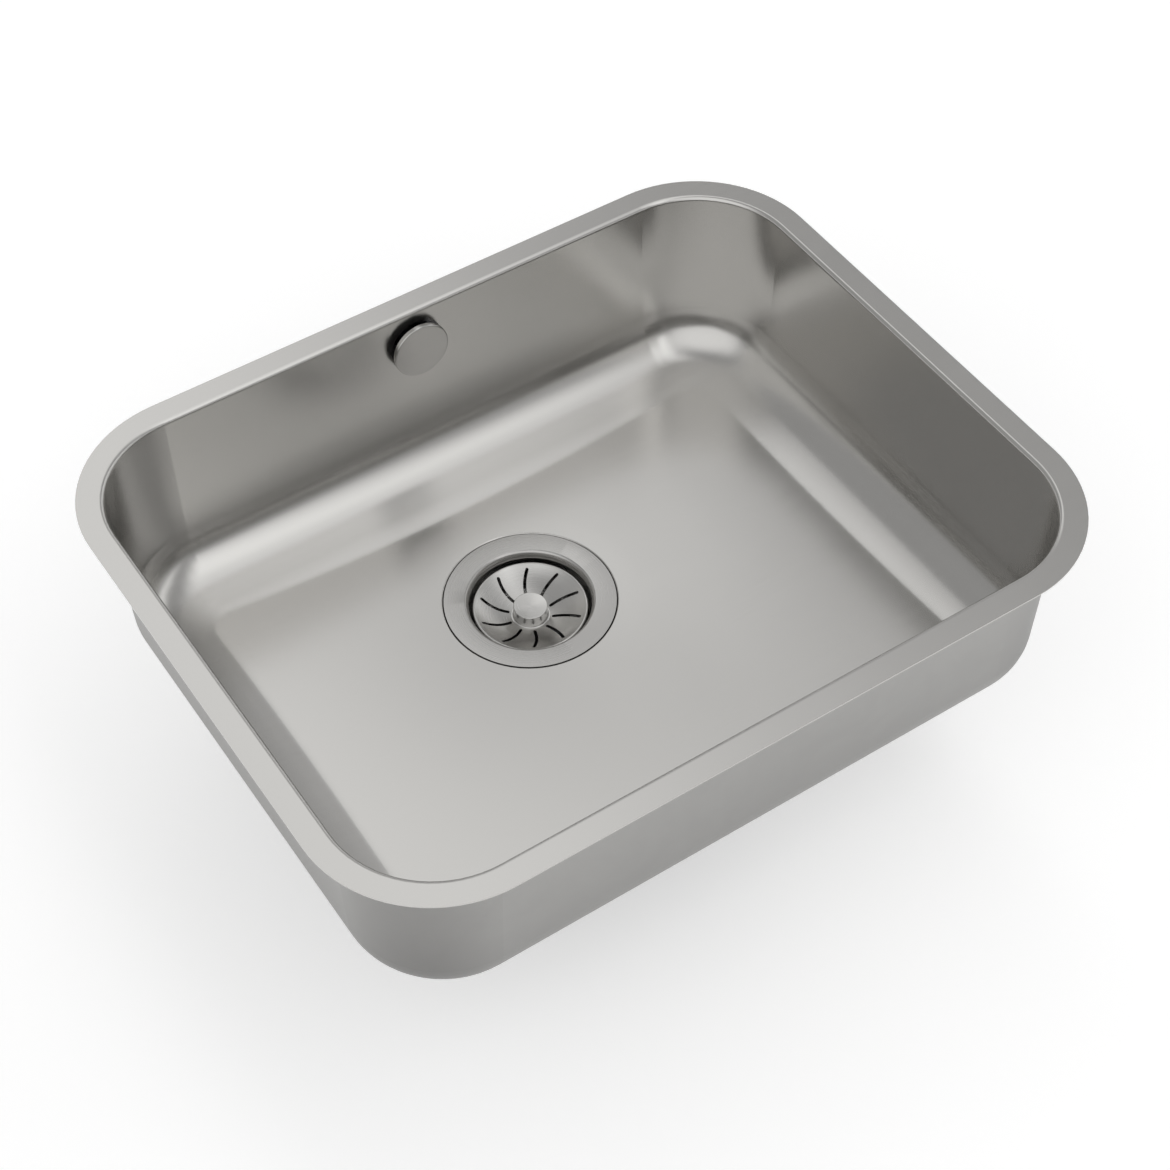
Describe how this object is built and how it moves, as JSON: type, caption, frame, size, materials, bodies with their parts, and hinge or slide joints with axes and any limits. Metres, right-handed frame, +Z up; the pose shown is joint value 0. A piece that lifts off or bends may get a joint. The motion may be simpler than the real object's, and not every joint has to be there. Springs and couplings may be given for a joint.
{
  "type": "undermount kitchen sink",
  "caption": "Single-bowl undermount kitchen sink in pressed stainless steel, with a flat fixing rim, a lift-out strainer plug in its waste and an overflow in its back wall piped to the waste.",
  "frame": {"origin": "centre of the bowl's mouth, in the plane of the rim's top face, which meets the worktop's underside", "axes": "+X along the long side, +Y to the back wall with the overflow, +Z up out of the bowl"},
  "size_m": [0.535, 0.4562, 0.241],
  "materials": {
    "bowl_steel": "satin brushed stainless steel",
    "waste_steel": "satin spun stainless steel",
    "strainer_steel": "polished spun stainless steel",
    "disc_steel": "satin brushed stainless steel",
    "screw_steel": "turned stainless steel",
    "spring_steel": "bright spring wire",
    "insert_brass": "turned brass",
    "fitting_plastic": "moulded black polypropylene",
    "hose_plastic": "light grey corrugated polypropylene",
    "hub_plastic": "moulded dark grey acetal",
    "seal_rubber": "black moulded rubber",
    "pad_rubber": "dark grey bitumen rubber"
  },
  "bodies": {
    "sink": {"bowl": "bowl_steel", "sound_pad": "pad_rubber", "waste_flange": "waste_steel", "upper_seal": "seal_rubber", "lower_seal": "seal_rubber", "waste_body": "fitting_plastic", "waste_insert": "insert_brass", "waste_screw": "screw_steel", "overflow_disc": "disc_steel", "overflow_carrier": "fitting_plastic", "overflow_bolt": "screw_steel", "overflow_gasket": "seal_rubber", "overflow_elbow": "fitting_plastic", "elbow_insert": "insert_brass", "overflow_hose": "hose_plastic", "upper_hose_nut": "fitting_plastic", "upper_hose_washer": "seal_rubber", "lower_hose_nut": "fitting_plastic", "lower_hose_washer": "seal_rubber"},
    "strainer": {"strainer_dish": "strainer_steel", "strainer_knob": "strainer_steel", "plug_hub": "hub_plastic", "plug_seal": "seal_rubber", "catch_ring": "spring_steel"}
  },
  "joints": [
    {"name": "strainer_lift", "type": "slide", "parent": "sink", "child": "strainer", "axis": [0, 0, 1], "range_m": [0, 0.19]}
  ]
}
